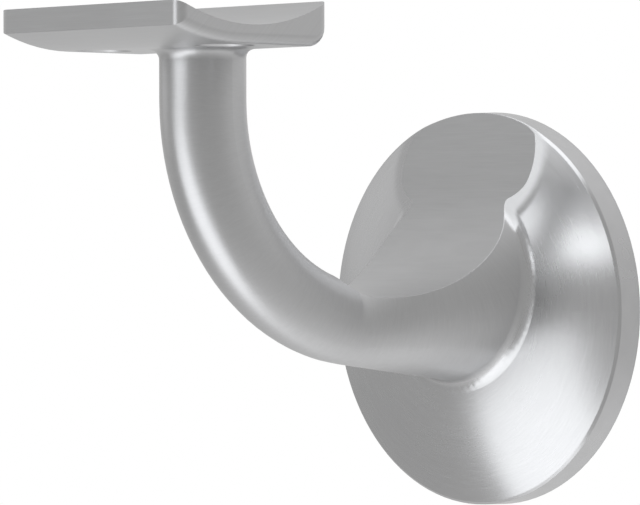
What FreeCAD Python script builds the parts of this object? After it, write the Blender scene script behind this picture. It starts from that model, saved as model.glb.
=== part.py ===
"""Cast aluminium handrail bracket: a round wall rose, a scooped flare, a swept arm and a rail saddle.

Millimetres. +Z is up, the wall is the plane Y = 0 and the bracket stands out from it towards -Y, and
the handrail runs along X. The origin is the centre of the rose's flat back face. Side profiles are
drawn with at(out, up), where out is the distance from the wall and up is the height above the origin.
"""
import FreeCAD, Part
import math
import os

# Wall rose: a side band with a little draft, a broken front edge and a domed face with a flat crown.
ROSE_RADIUS = 40.0
ROSE_DRAFT = 0.2
ROSE_BAND = 5.8
ROSE_EDGE_BREAK = 0.5
DOME_RADIUS = 70.0
DOME_RIM_SLOPE = math.radians(23.0)

# Cored back of the rose, which leaves a bearing rim and a boss for the wall stud.
RIM_WIDTH = 5.0
CORE_DEPTH = 3.2
BOSS_RADIUS = 11.0
STUD_HOLE_RADIUS = 4.25
STUD_HOLE_DEPTH = 22.0

# Round arm: a straight post under the saddle and a bend that runs down to the neck.
ARM_RADIUS = 8.35
ARM_REACH = 80.4
BEND_RADIUS = 43.7
BEND_CENTRE_UP = 41.2
BEND_END = math.radians(12.5)

# Neck: round sections that grow from the arm to the rose, between a low and a high profile line.
NECK_LOW_SLOPE = math.radians(7.5)
NECK_ROOT_HIGH = 28.3
NECK_HIGH_SLOPE = math.radians(29.0)
NECK_FILLET = 3.0
SHOULDER_WALL_SIDE_OUT = 29.7
SHOULDER_TO_BEND = 4.0
NECK_SECTIONS = 5
SHOULDER_SECTIONS = 4

# Scoop: a trough along the rail's direction, cut out of the top of the neck.
SCOOP_CENTRE_OUT = 39.6
SCOOP_FLOOR_UP = 2.9
SCOOP_RADIUS = 32.3
SCOOP_EXIT_RADIUS = 11.0
SCOOP_LEAN = math.radians(16.5)
SCOOP_EXIT_TURN = math.radians(80.0)

# Saddle: a plate with a shallow trough for the rail; its underside is flat by the arm, then curves up.
SADDLE_LENGTH = 51.5
SADDLE_WIDTH = 37.7
SADDLE_BEHIND_ARM = 0.3
SADDLE_FLAT_UP = 50.9
SADDLE_FLAT_WIDTH = 22.2
WALL_RIM_HEIGHT = 8.6
ROOM_RIM_HEIGHT = 7.6
ROOM_FOOT_HEIGHT = 3.0
RAIL_RADIUS = 41.5
WALL_SIDE_ROUND = 3.6
SADDLE_CORNER_ROUND = 2.0
ARM_FILLET = 2.0
ARM_INTO_SADDLE = 2.7

# Countersunk screw holes of the saddle.
SCREW_SPACING = 34.6
SCREW_HOLE_RADIUS = 2.75
SCREW_SINK_RADIUS = 5.6

# How far a cutting solid runs past what it cuts, and how near two lengths are to count as equal.
OVERRUN = 1.0
TOLERANCE = 0.1

BEND_CENTRE_OUT = ARM_REACH - BEND_RADIUS
SADDLE_BACK_OUT = ARM_REACH - ARM_RADIUS - SADDLE_BEHIND_ARM
SADDLE_MID_OUT = SADDLE_BACK_OUT + SADDLE_WIDTH / 2
ROSE_CROWN = ROSE_BAND + DOME_RADIUS * (1 - math.cos(DOME_RIM_SLOPE))
OUTWARD = FreeCAD.Vector(0, -1, 0)


def at(out, up, x=0.0):
    """A point by its distance from the wall, its height and its place along the rail."""
    return FreeCAD.Vector(x, -out, up)


def closed_face(edges):
    return Part.Face(Part.Wire(edges))


def line(a, b):
    return Part.LineSegment(a, b).toShape()


def arc(a, middle, b):
    return Part.Arc(a, middle, b).toShape()


def on_circle(centre_out, centre_up, radius, angle):
    """A point of a circle in the side view; the angle runs from outward, upwards."""
    return at(centre_out + radius * math.cos(angle), centre_up + radius * math.sin(angle))


def disc_profile(radius, out, x_sign=1.0):
    """A point of a profile that is turned about the rose's axis."""
    return FreeCAD.Vector(x_sign * radius, -out, 0)


def rose():
    """The disc on the wall, turned about its axis."""
    face_radius = ROSE_RADIUS - ROSE_EDGE_BREAK
    crown_radius = face_radius - DOME_RADIUS * math.sin(DOME_RIM_SLOPE)
    half_slope = DOME_RIM_SLOPE / 2
    middle_radius = crown_radius + DOME_RADIUS * math.sin(half_slope)
    middle_out = ROSE_CROWN - DOME_RADIUS * (1 - math.cos(half_slope))
    edge_start = disc_profile(ROSE_RADIUS, ROSE_BAND - ROSE_EDGE_BREAK)
    edge_end = disc_profile(face_radius, ROSE_BAND)
    crown_edge = disc_profile(crown_radius, ROSE_CROWN)
    edges = [
        line(disc_profile(0, 0), disc_profile(ROSE_RADIUS + ROSE_DRAFT, 0)),
        line(disc_profile(ROSE_RADIUS + ROSE_DRAFT, 0), edge_start),
        line(edge_start, edge_end),
        arc(edge_end, disc_profile(middle_radius, middle_out), crown_edge),
        line(crown_edge, disc_profile(0, ROSE_CROWN)),
        line(disc_profile(0, ROSE_CROWN), disc_profile(0, 0)),
    ]
    return closed_face(edges).revolve(at(0, 0), FreeCAD.Vector(0, 1, 0), 360)


def neck_low(out):
    """Height of the neck's lowest line, which carries on the line of the bend where it has that slope."""
    outer = BEND_RADIUS + ARM_RADIUS
    touch_out = BEND_CENTRE_OUT + outer * math.sin(NECK_LOW_SLOPE)
    touch_up = BEND_CENTRE_UP - outer * math.cos(NECK_LOW_SLOPE)
    return touch_up - (touch_out - out) * math.tan(NECK_LOW_SLOPE)


def neck_high(out):
    """Height of the neck's highest line, before the scoop is cut."""
    return NECK_ROOT_HIGH - (out - ROSE_BAND) * math.tan(NECK_HIGH_SLOPE)


def neck_radius(out):
    """Radius of the neck: half the way from its low line to its high one, eased into the arm."""
    if out <= SHOULDER_WALL_SIDE_OUT:
        return (neck_high(out) - neck_low(out)) / 2
    start = neck_radius(SHOULDER_WALL_SIDE_OUT)
    growth = (math.tan(NECK_LOW_SLOPE) + math.tan(NECK_HIGH_SLOPE)) / 2
    span = bend_end()[0] - SHOULDER_WALL_SIDE_OUT
    t = (bend_end()[0] - out) / span
    ease = t * t * (3 - 2 * t)
    return ARM_RADIUS + (start - ARM_RADIUS) * ease + growth * span * t * t * (t - 1)


def bend_end():
    """Where the bend ends and the neck begins, on the arm's axis, as (out, up)."""
    out = BEND_CENTRE_OUT + BEND_RADIUS * math.sin(BEND_END)
    up = BEND_CENTRE_UP - BEND_RADIUS * math.cos(BEND_END)
    return out, up


def ring(out, up, radius, lean=0.0):
    """A round section across the arm or neck; lean tips it back like the end of the bend."""
    direction = FreeCAD.Vector(0, -math.cos(lean), math.sin(lean))
    return Part.Wire([Part.makeCircle(radius, at(out, up), direction)])


def neck_ring(out):
    """The section of the neck that stands on its low line."""
    radius = neck_radius(out)
    return ring(out, neck_low(out) + radius, radius)


def spaced(first, last, count):
    """Values from first to last in equal steps."""
    return [first + (last - first) * step / (count - 1) for step in range(count)]


def neck():
    """The flare between the rose and the arm, lofted through its sections."""
    shoulder_end = bend_end()[0] - SHOULDER_TO_BEND
    outs = spaced(ROSE_BAND, SHOULDER_WALL_SIDE_OUT, NECK_SECTIONS)
    outs += spaced(SHOULDER_WALL_SIDE_OUT, shoulder_end, SHOULDER_SECTIONS)[1:]
    sections = [neck_ring(out) for out in outs]
    sections.append(ring(*bend_end(), ARM_RADIUS, BEND_END))
    return Part.makeLoft(sections, True, False)


def arm():
    """The bend, turned about its centre, and the post that stands on it."""
    turn = 90 - math.degrees(BEND_END)
    top = Part.Face(Part.Wire([Part.makeCircle(ARM_RADIUS, at(ARM_REACH, BEND_CENTRE_UP))]))
    bend = top.revolve(at(BEND_CENTRE_OUT, BEND_CENTRE_UP), FreeCAD.Vector(1, 0, 0), turn)
    post_height = SADDLE_FLAT_UP + ARM_INTO_SADDLE - BEND_CENTRE_UP
    post = Part.makeCylinder(ARM_RADIUS, post_height, at(ARM_REACH, BEND_CENTRE_UP))
    return bend.fuse(post)


def scoop_tool():
    """What the scoop takes away: a lean face up the rose, a round floor and a tighter way out."""
    floor = at(SCOOP_CENTRE_OUT, SCOOP_FLOOR_UP)
    centre_up = SCOOP_FLOOR_UP + SCOOP_RADIUS
    lean_angle = math.pi + SCOOP_LEAN
    lean_foot = on_circle(SCOOP_CENTRE_OUT, centre_up, SCOOP_RADIUS, lean_angle)
    down = -math.pi / 2 + 2 * math.pi
    middle_angle = (lean_angle + down) / 2
    floor_middle = on_circle(SCOOP_CENTRE_OUT, centre_up, SCOOP_RADIUS, middle_angle)
    exit_up = SCOOP_FLOOR_UP + SCOOP_EXIT_RADIUS
    exit_middle = on_circle(
        SCOOP_CENTRE_OUT, exit_up, SCOOP_EXIT_RADIUS, SCOOP_EXIT_TURN / 2 - math.pi / 2
    )
    exit_end = on_circle(SCOOP_CENTRE_OUT, exit_up, SCOOP_EXIT_RADIUS, SCOOP_EXIT_TURN - math.pi / 2)
    top_up = ROSE_RADIUS + OVERRUN
    lean_top = at(-lean_foot.y - (top_up - lean_foot.z) * math.tan(SCOOP_LEAN), top_up)
    exit_top = at(-exit_end.y, top_up)
    edges = [
        line(lean_top, lean_foot),
        arc(lean_foot, floor_middle, floor),
        arc(floor, exit_middle, exit_end),
        line(exit_end, exit_top),
        line(exit_top, lean_top),
    ]
    half = ROSE_RADIUS + OVERRUN
    tool = closed_face(edges).extrude(FreeCAD.Vector(2 * half, 0, 0))
    tool.translate(FreeCAD.Vector(-half, 0, 0))
    return tool


def arc_between(a, b, radius):
    """An arc of the side view that sags below its chord."""
    chord = b - a
    below = FreeCAD.Vector(0, -chord.z, chord.y).normalize()
    if below.z > 0:
        below = below * -1
    sag = radius - math.sqrt(radius**2 - (chord.Length / 2) ** 2)
    return arc(a, (a + b) * 0.5 + below * sag, b)


def saddle():
    """The plate under the rail: its side profile run along X, with its upright corners rounded."""
    room_out = SADDLE_BACK_OUT + SADDLE_WIDTH
    wall_rim = at(SADDLE_BACK_OUT, SADDLE_FLAT_UP + WALL_RIM_HEIGHT)
    room_rim = at(room_out, SADDLE_FLAT_UP + ROOM_RIM_HEIGHT)
    room_foot = at(room_out, SADDLE_FLAT_UP + ROOM_FOOT_HEIGHT)
    flat_end = at(SADDLE_BACK_OUT + SADDLE_FLAT_WIDTH, SADDLE_FLAT_UP)
    curve_width = SADDLE_WIDTH - SADDLE_FLAT_WIDTH
    curve_radius = (curve_width**2 + ROOM_FOOT_HEIGHT**2) / (2 * ROOM_FOOT_HEIGHT)
    round_out = SADDLE_BACK_OUT + WALL_SIDE_ROUND
    round_up = SADDLE_FLAT_UP + WALL_SIDE_ROUND
    round_start = at(round_out, SADDLE_FLAT_UP)
    round_middle = on_circle(round_out, round_up, WALL_SIDE_ROUND, -0.75 * math.pi)
    round_end = at(SADDLE_BACK_OUT, round_up)
    edges = [
        arc_between(wall_rim, room_rim, RAIL_RADIUS),
        line(room_rim, room_foot),
        arc_between(room_foot, flat_end, curve_radius),
        line(flat_end, round_start),
        arc(round_start, round_middle, round_end),
        line(round_end, wall_rim),
    ]
    plate = closed_face(edges).extrude(FreeCAD.Vector(SADDLE_LENGTH, 0, 0))
    plate.translate(FreeCAD.Vector(-SADDLE_LENGTH / 2, 0, 0))
    corners = [edge for edge in plate.Edges if is_upright(edge)]
    return plate.makeFillet(SADDLE_CORNER_ROUND, corners)


def is_upright(edge):
    box = edge.BoundBox
    return box.XLength < TOLERANCE and box.YLength < TOLERANCE


def screw_tool(x):
    """A countersunk screw hole, sunk from below."""
    below = at(SADDLE_MID_OUT, SADDLE_FLAT_UP - OVERRUN, x)
    sink_depth = SCREW_SINK_RADIUS - SCREW_HOLE_RADIUS
    hole = Part.makeCylinder(SCREW_HOLE_RADIUS, WALL_RIM_HEIGHT + 2 * OVERRUN, below)
    sink = Part.makeCone(SCREW_SINK_RADIUS + OVERRUN, SCREW_HOLE_RADIUS, sink_depth + OVERRUN, below)
    return hole.fuse(sink)


def back_core():
    """The recess cast into the rose's back, round its boss."""
    into_wall = at(-OVERRUN, 0)
    height = CORE_DEPTH + OVERRUN
    recess = Part.makeCylinder(ROSE_RADIUS - RIM_WIDTH, height, into_wall, OUTWARD)
    boss = Part.makeCylinder(BOSS_RADIUS, height, into_wall, OUTWARD)
    return recess.cut(boss)


def stud_tool():
    """The blind hole for the wall stud, at the tapping drill's size."""
    return Part.makeCylinder(STUD_HOLE_RADIUS, STUD_HOLE_DEPTH, at(0, 0), OUTWARD)


def is_arm_joint(edge):
    """True for the edges where the arm enters the saddle."""
    box = edge.BoundBox
    by_arm = abs(box.Center.x) < ARM_RADIUS and abs(-box.Center.y - ARM_REACH) < ARM_RADIUS
    no_wider = box.XLength <= 2 * ARM_RADIUS + TOLERANCE
    return by_arm and no_wider and box.ZMin > SADDLE_FLAT_UP - TOLERANCE


def is_neck_foot(edge):
    """True for the edges where the neck stands on the rose's domed face."""
    box = edge.BoundBox
    return -box.YMax > ROSE_BAND + TOLERANCE and -box.YMin < ROSE_CROWN + OVERRUN


def bracket():
    """The whole casting, one piece."""
    base = rose().fuse(neck())
    base = base.makeFillet(NECK_FILLET, [edge for edge in base.Edges if is_neck_foot(edge)])
    top = saddle().fuse(arm())
    top = top.makeFillet(ARM_FILLET, [edge for edge in top.Edges if is_arm_joint(edge)])
    screws = [screw_tool(x) for x in (-SCREW_SPACING / 2, SCREW_SPACING / 2)]
    return base.fuse(top).cut(scoop_tool()).cut([back_core(), stud_tool()] + screws)


def main():
    os.makedirs("parts", exist_ok=True)
    shape = bracket()
    print("valid", shape.isValid(), "solids", len(shape.Solids), "volume", round(shape.Volume, 1))
    shape.exportStep("parts/bracket.step")


main()
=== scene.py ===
"""Looks of the cast handrail bracket: brushed aluminium before a white background.

Metres. The bracket stands out from the wall plane Y = 0 towards -Y, +Z is up, and the rail runs
along X. In a name, OUT is a distance from the wall and UP is a height.
"""
import math

import bpy
from mathutils import Matrix, Quaternion, Vector


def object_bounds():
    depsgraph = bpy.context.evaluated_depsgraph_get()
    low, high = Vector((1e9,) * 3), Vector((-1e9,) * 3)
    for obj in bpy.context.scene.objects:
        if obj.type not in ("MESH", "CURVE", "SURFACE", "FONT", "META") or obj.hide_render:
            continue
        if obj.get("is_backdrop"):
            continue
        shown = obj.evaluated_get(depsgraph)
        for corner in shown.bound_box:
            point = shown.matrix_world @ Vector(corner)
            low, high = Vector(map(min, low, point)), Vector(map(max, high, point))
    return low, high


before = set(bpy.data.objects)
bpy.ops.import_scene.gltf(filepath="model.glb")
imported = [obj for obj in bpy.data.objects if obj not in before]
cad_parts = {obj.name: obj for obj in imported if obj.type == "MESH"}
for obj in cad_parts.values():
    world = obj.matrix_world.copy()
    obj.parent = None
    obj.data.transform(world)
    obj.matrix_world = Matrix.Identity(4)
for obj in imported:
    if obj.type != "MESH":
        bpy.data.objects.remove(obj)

MM = 0.001
ALONG_X = (1.0, 0.0, 0.0)
ALONG_Y = (0.0, 1.0, 0.0)
ALONG_Z = (0.0, 0.0, 1.0)

# Sizes of the casting that the finish follows. They repeat the part's values or follow from them.
DOME_RADIUS = 70.0 * MM
DOME_CENTRE_OUT = -58.63 * MM
DOME_CENTRE_RING = 12.15 * MM
SCOOP_TOP_OUT = 4.3 * MM
SCOOP_END_OUT = 53.0 * MM
LEAN = math.radians(16.5)
LEAN_FOOT_OUT = 8.63 * MM
LEAN_FOOT_UP = 26.03 * MM
ARM_REACH = 80.4 * MM
BEND_RADIUS = 43.7 * MM
BEND_CENTRE_UP = 41.2 * MM
BEND_CENTRE_OUT = ARM_REACH - BEND_RADIUS
SADDLE_FLAT_UP = 50.9 * MM

# Over what length one finish passes into the next.
OFF_DOME = (0.3 * MM, 2.0 * MM)
POST_BLEND = 1.0 * MM
NECK_BLEND = 6.0 * MM
SCOOP_TOP_BLEND = 0.1 * MM
SCOOP_END_BLEND = 1.0 * MM
SCOOP_LOW_BLEND = 2.0 * MM
SADDLE_BLEND = 0.3 * MM
STRAIGHT_SLOPE = (0.04, 0.08)

# Brushed aluminium.
METAL = (0.50, 0.50, 0.505)
METAL_ANISOTROPY = 0.7
ROSE_ROUGHNESS = 0.26
ARM_ROUGHNESS = 0.36
ROUGHNESS_SPREAD = (-0.02, 0.03)
SHADE_SPREAD = (0.95, 1.04)
NOISE_RANGE = (0.3, 0.7)

# Grooves: noise that is stretched along them by a small step per radian, or per metre of X.
GROOVE_DEPTH = 0.012 * MM
GROOVE_STRENGTH = 0.25
ROSE_STEP, ARM_STEP, FLAT_STEP = 0.0015, 0.0008, 0.02
ROSE_LAYER, ARM_LAYER, FLAT_LAYER = 0.0, 0.1, 0.3
LENGTHWISE_LIFT = (0.0, 0.0, 0.05)

# Noises: scale, detail and roughness, and the share that each has in its sum.
FINE_NOISE = (5200.0, 2.0, 0.6)
COARSE_NOISE = (1400.0, 3.0, 0.6)
CLOUD_NOISE = (60.0, 3.0, 0.5)
FINE_SHARE = 0.6
COARSE_SHARE = 0.4
CLOUD_SHARE = 0.5

# Shading only, not in the mesh: rounded edges, and a tilted normal beside the scoop's lean face.
EDGE_ROUND = 0.25 * MM
EDGE_SAMPLES = 4
ROLL_DEPTH = (0.15 * MM, 0.75 * MM)
ROLL_UP = (12.0 * MM, 20.0 * MM)
ROLL_NORMAL = (0.12, -0.92, 0.40)

# Camera: a long lens from far off, so that parallel edges stay nearly parallel.
CAMERA_PLACE = Vector((0.5660, -0.5963, 0.0190))
CAMERA_YAW = math.radians(45.98)
CAMERA_DOWN = math.radians(0.52)
CAMERA_ROLL = math.radians(-0.15)
CAMERA_LENS = 225.0
CAMERA_CLIP = (0.01, 20.0)
SENSOR_WIDTH = 36.0

# Studio: a small pale floor and three soft lamps in a room that is white to the camera. The metal
# meets a white backdrop behind, above, below and on one side, and grey walls elsewhere.
FLOOR_SIZE = 0.34
FLOOR_UP = -0.42
FLOOR_PAINT = (0.85, 0.85, 0.85, 1.0)
FLOOR_GLOW = 0.45
WHITE = (1.0, 1.0, 1.0, 1.0)
WALL = (0.55, 0.55, 0.545, 1.0)
BACKDROP_BEHIND = 0.6
BACKDROP_ABOVE = 0.9
PALE_SIDE = (-0.94, -0.27, 0.20)
PALE_EDGE = (0.93, 0.99)
PALE_LEVEL = 0.8
LAMP_TINT = (0.955, 0.975, 1.0)
LAMP_AIM = Vector((0.0, -0.05, 0.01))
LAMP_DISTANCE = 1.2


def first_bounds():
    low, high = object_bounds()
    return {"before": {"low": list(low), "high": list(high)}}


def link(thing):
    bpy.context.scene.collection.objects.link(thing)


class Graph:
    """A node tree with short calls to add nodes and join their sockets."""

    def __init__(self, tree):
        self.tree = tree
        tree.nodes.clear()

    def add(self, kind, inputs=(), **settings):
        node = self.tree.nodes.new(kind)
        for name, value in settings.items():
            setattr(node, name, value)
        for name, value in dict(inputs).items():
            self.feed(node.inputs[name], value)
        return node

    def feed(self, socket, value):
        if isinstance(value, bpy.types.NodeSocket):
            self.tree.links.new(value, socket)
        else:
            socket.default_value = value

    def math(self, operation, *values, clamp=False):
        node = self.add("ShaderNodeMath", operation=operation, use_clamp=clamp)
        for socket, value in zip(node.inputs, values):
            self.feed(socket, value)
        return node.outputs[0]

    def vector(self, operation, *values):
        node = self.add("ShaderNodeVectorMath", operation=operation)
        for socket, value in zip(node.inputs, values):
            self.feed(socket, value)
        gives_number = operation in ("LENGTH", "DOT_PRODUCT")
        return node.outputs["Value"] if gives_number else node.outputs[0]

    def join(self, x, y, z):
        return self.add("ShaderNodeCombineXYZ", {"X": x, "Y": y, "Z": z}).outputs[0]

    def split(self, vector):
        return self.add("ShaderNodeSeparateXYZ", {"Vector": vector}).outputs

    def remap(self, value, low, high, to_low=0.0, to_high=1.0, smooth=True):
        node = self.add("ShaderNodeMapRange", {"Value": value, "From Min": low, "From Max": high,
                                               "To Min": to_low, "To Max": to_high})
        node.interpolation_type = "SMOOTHSTEP" if smooth else "LINEAR"
        return node.outputs[0]

    def noise(self, vector, scale, detail, rough):
        node = self.add("ShaderNodeTexNoise", {"Vector": vector, "Scale": scale,
                                               "Detail": detail, "Roughness": rough})
        return node.outputs["Fac"]

    def blend(self, factor, a, b):
        """Vector a where factor is 0, b where it is 1."""
        node = self.add("ShaderNodeMix", data_type="VECTOR")
        self.feed(node.inputs["Factor"], factor)
        vectors = [s for s in node.inputs if s.type == "VECTOR"]
        self.feed(vectors[-2], a)
        self.feed(vectors[-1], b)
        return [s for s in node.outputs if s.type == "VECTOR"][0]

    def surface(self, kind, shader):
        self.feed(self.add(kind).inputs["Surface"], shader)


def new_material(name):
    material = bpy.data.materials.new(name)
    material.use_nodes = True
    return material, Graph(material.node_tree)


class Spot:
    """Where the shaded point is on the bracket."""

    def __init__(self, g):
        self.place = g.add("ShaderNodeTexCoord").outputs["Object"]
        self.x, self.y, self.z = g.split(self.place)
        self.out = g.math("MULTIPLY", self.y, -1.0)
        self.radial = g.join(self.x, 0.0, self.z)
        self.ring = g.vector("LENGTH", self.radial)
        self.from_bend = g.join(0.0, g.math("ADD", self.y, BEND_CENTRE_OUT),
                                g.math("SUBTRACT", self.z, BEND_CENTRE_UP))
        facing = g.add("ShaderNodeNewGeometry").outputs
        self.normal = facing["Normal"]
        self.slope = g.math("ABSOLUTE", g.split(facing["True Normal"])[0])


def rose_mask(g, spot):
    """1 on the domed rose, which is an arc turned about the Y axis round a flat crown."""
    from_crown = g.math("MAXIMUM", g.math("SUBTRACT", spot.ring, DOME_CENTRE_RING), 0.0)
    from_centre = g.join(from_crown, g.math("ADD", spot.y, DOME_CENTRE_OUT), 0.0)
    off_dome = g.math("SUBTRACT", g.vector("LENGTH", from_centre), DOME_RADIUS)
    return g.remap(off_dome, *OFF_DOME, 1.0, 0.0)


def flat_mask(g, spot):
    """1 in the scoop and on the saddle, where the grooves are straight along X."""
    straight = g.remap(spot.slope, *STRAIGHT_SLOPE, 1.0, 0.0)
    past_top = g.remap(spot.out, SCOOP_TOP_OUT - SCOOP_TOP_BLEND, SCOOP_TOP_OUT)
    before_end = g.remap(spot.out, SCOOP_END_OUT, SCOOP_END_OUT + SCOOP_END_BLEND, 1.0, 0.0)
    upper = g.math("MULTIPLY", g.math("MULTIPLY", past_top, before_end),
                   g.remap(spot.z, -SCOOP_LOW_BLEND, 0.0))
    in_scoop = g.math("MULTIPLY", straight, upper)
    in_saddle = g.remap(spot.z, SADDLE_FLAT_UP - SADDLE_BLEND, SADDLE_FLAT_UP)
    return g.math("MAXIMUM", in_scoop, in_saddle)


def across_grooves(g, spot, on_rose, flat_sides):
    """The tangent: radial on the rose, along the arm on the arm, square to X on the flat sides."""
    along_arm = g.vector("NORMALIZE", g.vector("CROSS_PRODUCT", spot.from_bend, ALONG_X))
    in_post = g.remap(spot.z, BEND_CENTRE_UP - POST_BLEND, BEND_CENTRE_UP)
    in_neck = g.remap(spot.out, BEND_CENTRE_OUT, BEND_CENTRE_OUT + NECK_BLEND, 1.0, 0.0)
    along_arm = g.blend(in_post, along_arm, ALONG_Z)
    along_arm = g.blend(in_neck, along_arm, ALONG_Y)
    across = g.blend(on_rose, along_arm, g.vector("NORMALIZE", spot.radial))
    # The lift keeps the tangent from zero where the surface faces along X.
    lengthwise = g.vector("ADD", g.vector("CROSS_PRODUCT", spot.normal, ALONG_X), LENGTHWISE_LIFT)
    return g.blend(flat_sides, across, g.vector("NORMALIZE", lengthwise))


def groove_height(g, spot, on_rose, flat_sides):
    """Fine and coarse grooves: rings on the rose and the arm, straight lines on the flat sides."""
    angle = g.math("ARCTAN2", spot.z, spot.x)
    bend_angle = g.math("ARCTAN2", g.math("SUBTRACT", BEND_CENTRE_UP, spot.z),
                        g.math("SUBTRACT", spot.out, BEND_CENTRE_OUT))
    above_axis = g.math("SUBTRACT", g.vector("LENGTH", spot.from_bend), BEND_RADIUS)
    around = g.math("ARCTAN2", spot.x, above_axis)
    on_dome = g.join(spot.ring, g.math("MULTIPLY", angle, ROSE_STEP), ROSE_LAYER)
    on_arm = g.join(g.math("MULTIPLY", bend_angle, BEND_RADIUS),
                    g.math("MULTIPLY", around, ARM_STEP), ARM_LAYER)
    on_flat = g.join(g.math("ADD", spot.z, spot.out),
                     g.math("MULTIPLY", spot.x, FLAT_STEP), FLAT_LAYER)
    at = g.blend(flat_sides, g.blend(on_rose, on_arm, on_dome), on_flat)
    fine = g.math("MULTIPLY", g.noise(at, *FINE_NOISE), FINE_SHARE)
    coarse = g.math("MULTIPLY", g.noise(at, *COARSE_NOISE), COARSE_SHARE)
    return g.math("ADD", fine, coarse)


def softened_normal(g, spot, turned):
    """Rounded edges, and beside the lean face a dome that seems to roll over; shading only."""
    rounded = g.add("ShaderNodeBevel", {"Radius": EDGE_ROUND}, samples=EDGE_SAMPLES).outputs[0]
    rise = g.math("MULTIPLY", g.math("SUBTRACT", spot.z, LEAN_FOOT_UP), math.tan(LEAN))
    past_foot = g.math("ADD", g.math("SUBTRACT", spot.out, LEAN_FOOT_OUT), rise)
    depth = g.math("MULTIPLY", past_foot, -math.cos(LEAN))
    rolled = g.math("MULTIPLY", g.remap(depth, *ROLL_DEPTH, 1.0, 0.0), g.remap(spot.z, *ROLL_UP))
    rolled = g.math("MULTIPLY", rolled, turned)
    sideways = g.math("MULTIPLY", g.math("SIGN", spot.x), ROLL_NORMAL[0])
    roll_normal = g.vector("NORMALIZE", g.join(sideways, *ROLL_NORMAL[1:]))
    return g.vector("NORMALIZE", g.blend(rolled, rounded, roll_normal))


def brushed_metal():
    """Satin aluminium: fine grooves round the rose's axis, round the arm and along the scoop."""
    material, g = new_material("satin_aluminium")
    spot = Spot(g)
    on_rose = rose_mask(g, spot)
    flat_sides = flat_mask(g, spot)
    turned = g.math("SUBTRACT", on_rose, flat_sides, clamp=True)
    across = across_grooves(g, spot, on_rose, flat_sides)
    grooves = groove_height(g, spot, on_rose, flat_sides)
    cloud = g.math("MULTIPLY", g.noise(spot.place, *CLOUD_NOISE), CLOUD_SHARE)

    bump = g.add("ShaderNodeBump", {
        "Strength": GROOVE_STRENGTH, "Distance": GROOVE_DEPTH, "Height": grooves,
        "Normal": softened_normal(g, spot, turned)})
    uneven = g.math("ADD", g.math("MULTIPLY", grooves, 1.0 - CLOUD_SHARE), cloud)
    rough = g.math("ADD", g.remap(uneven, *NOISE_RANGE, *ROUGHNESS_SPREAD, smooth=False),
                   g.remap(turned, 0.0, 1.0, ARM_ROUGHNESS, ROSE_ROUGHNESS))
    shade = g.remap(grooves, *NOISE_RANGE, *SHADE_SPREAD, smooth=False)
    colour = g.vector("MULTIPLY", METAL, g.join(shade, shade, shade))

    metal = g.add("ShaderNodeBsdfPrincipled", {
        "Base Color": colour, "Metallic": 1.0, "Roughness": rough,
        "Anisotropic": METAL_ANISOTROPY, "Tangent": across, "Normal": bump.outputs[0]})
    g.surface("ShaderNodeOutputMaterial", metal.outputs[0])
    return material


def backdrop_rays(g):
    """Two masks: camera rays alone, and camera, glossy and transmission rays together."""
    rays = g.add("ShaderNodeLightPath").outputs
    camera = rays["Is Camera Ray"]
    through = g.math("MAXIMUM", rays["Is Glossy Ray"], rays["Is Transmission Ray"])
    return camera, g.math("MAXIMUM", camera, through)


def make_world():
    """White to the camera; to the metal a grey room that is white where the backdrop is."""
    world = bpy.data.worlds.new("studio")
    bpy.context.scene.world = world
    world.use_nodes = True
    g = Graph(world.node_tree)
    camera, seen = backdrop_rays(g)
    direction = g.add("ShaderNodeTexCoord").outputs["Generated"]
    y, z = g.split(direction)[1:]
    above = g.math("MULTIPLY", g.math("POWER", g.math("ABSOLUTE", z), 2.0), BACKDROP_ABOVE)
    behind = g.math("MULTIPLY_ADD", y, BACKDROP_BEHIND, above, clamp=True)
    beside = g.remap(g.vector("DOT_PRODUCT", direction, PALE_SIDE), *PALE_EDGE, 0.0, PALE_LEVEL)
    backdrop = g.math("MULTIPLY", seen, g.math("MAXIMUM", behind, beside))
    mix = g.add("ShaderNodeMixShader", {"Fac": g.math("MAXIMUM", camera, backdrop)})
    for socket, colour in zip(mix.inputs[1:], (WALL, WHITE)):
        light = g.add("ShaderNodeBackground", {"Color": colour, "Strength": 1.0})
        g.feed(socket, light.outputs[0])
    g.surface("ShaderNodeOutputWorld", mix.outputs[0])


def make_floor():
    """A pale floor under the bracket; it reads as white and keeps a soft shadow."""
    mesh = bpy.data.meshes.new("floor")
    half = FLOOR_SIZE / 2
    corners = [(-half, -half, FLOOR_UP), (half, -half, FLOOR_UP),
               (half, half, FLOOR_UP), (-half, half, FLOOR_UP)]
    mesh.from_pydata(corners, [], [(0, 1, 2, 3)])
    floor = bpy.data.objects.new("floor", mesh)
    link(floor)
    floor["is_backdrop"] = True
    material, g = new_material("floor")
    seen = backdrop_rays(g)[1]
    paint = g.add("ShaderNodeBsdfDiffuse", {"Color": FLOOR_PAINT})
    glow = g.add("ShaderNodeEmission", {
        "Color": WHITE, "Strength": g.math("MULTIPLY", seen, FLOOR_GLOW)})
    both = g.add("ShaderNodeAddShader")
    g.feed(both.inputs[0], paint.outputs[0])
    g.feed(both.inputs[1], glow.outputs[0])
    g.surface("ShaderNodeOutputMaterial", both.outputs[0])
    mesh.materials.append(material)


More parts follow.
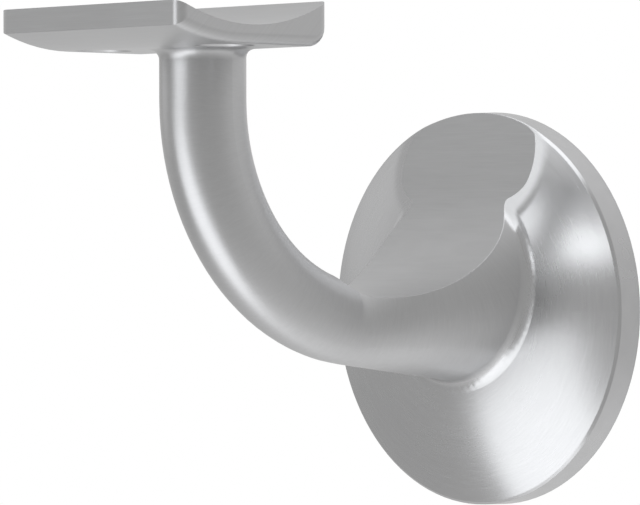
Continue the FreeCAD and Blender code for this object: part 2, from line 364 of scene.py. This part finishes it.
def softbox(name, azimuth, elevation, size, level, lean=0.0):
    """An area light aimed at the bracket, in degrees: azimuth 0 is in front, 90 towards +X.

    Its power grows with its area, so lights of one level are equally bright.
    """
    a, e = math.radians(azimuth), math.radians(elevation)
    back = Vector((math.sin(a) * math.cos(e), -math.cos(a) * math.cos(e), math.sin(e)))
    data = bpy.data.lights.new(name, "AREA")
    data.shape = "RECTANGLE"
    data.size, data.size_y = size
    data.energy = level * math.pi * size[0] * size[1]
    data.color = LAMP_TINT
    light = bpy.data.objects.new(name, data)
    light.location = LAMP_AIM + back * LAMP_DISTANCE
    light.rotation_mode = "QUATERNION"
    aim = (-back).to_track_quat("-Z", "Y")
    light.rotation_quaternion = aim @ Quaternion(ALONG_Z, math.radians(lean))
    link(light)


def make_camera():
    data = bpy.data.cameras.new("camera")
    data.lens = CAMERA_LENS
    data.sensor_width = SENSOR_WIDTH
    data.clip_start, data.clip_end = CAMERA_CLIP
    camera = bpy.data.objects.new("camera", data)
    forward = Vector((-math.sin(CAMERA_YAW) * math.cos(CAMERA_DOWN),
                      math.cos(CAMERA_YAW) * math.cos(CAMERA_DOWN), -math.sin(CAMERA_DOWN)))
    level = Vector((math.cos(CAMERA_YAW), math.sin(CAMERA_YAW), 0.0))
    over = level.cross(forward)
    right = level * math.cos(CAMERA_ROLL) + over * math.sin(CAMERA_ROLL)
    up = over * math.cos(CAMERA_ROLL) - level * math.sin(CAMERA_ROLL)
    turn = Matrix((right, up, -forward)).transposed()
    camera.matrix_world = Matrix.Translation(CAMERA_PLACE) @ turn.to_4x4()
    link(camera)
    bpy.context.scene.camera = camera


size = first_bounds()
metal = brushed_metal()
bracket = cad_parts["bracket"]
bracket.data.materials.clear()
bracket.data.materials.append(metal)
for polygon in bracket.data.polygons:
    polygon.material_index = 0

make_world()
make_floor()
softbox("low_light", -19, -40, (0.82, 1.62), 1.45, lean=12)
softbox("high_light", -20, 62, (1.10, 1.15), 1.35)
softbox("strip", -14, 13.5, (0.78, 0.17), 3.1)
make_camera()
bpy.context.scene.view_settings.view_transform = "Standard"

low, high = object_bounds()
size["after"] = {"low": list(low), "high": list(high)}
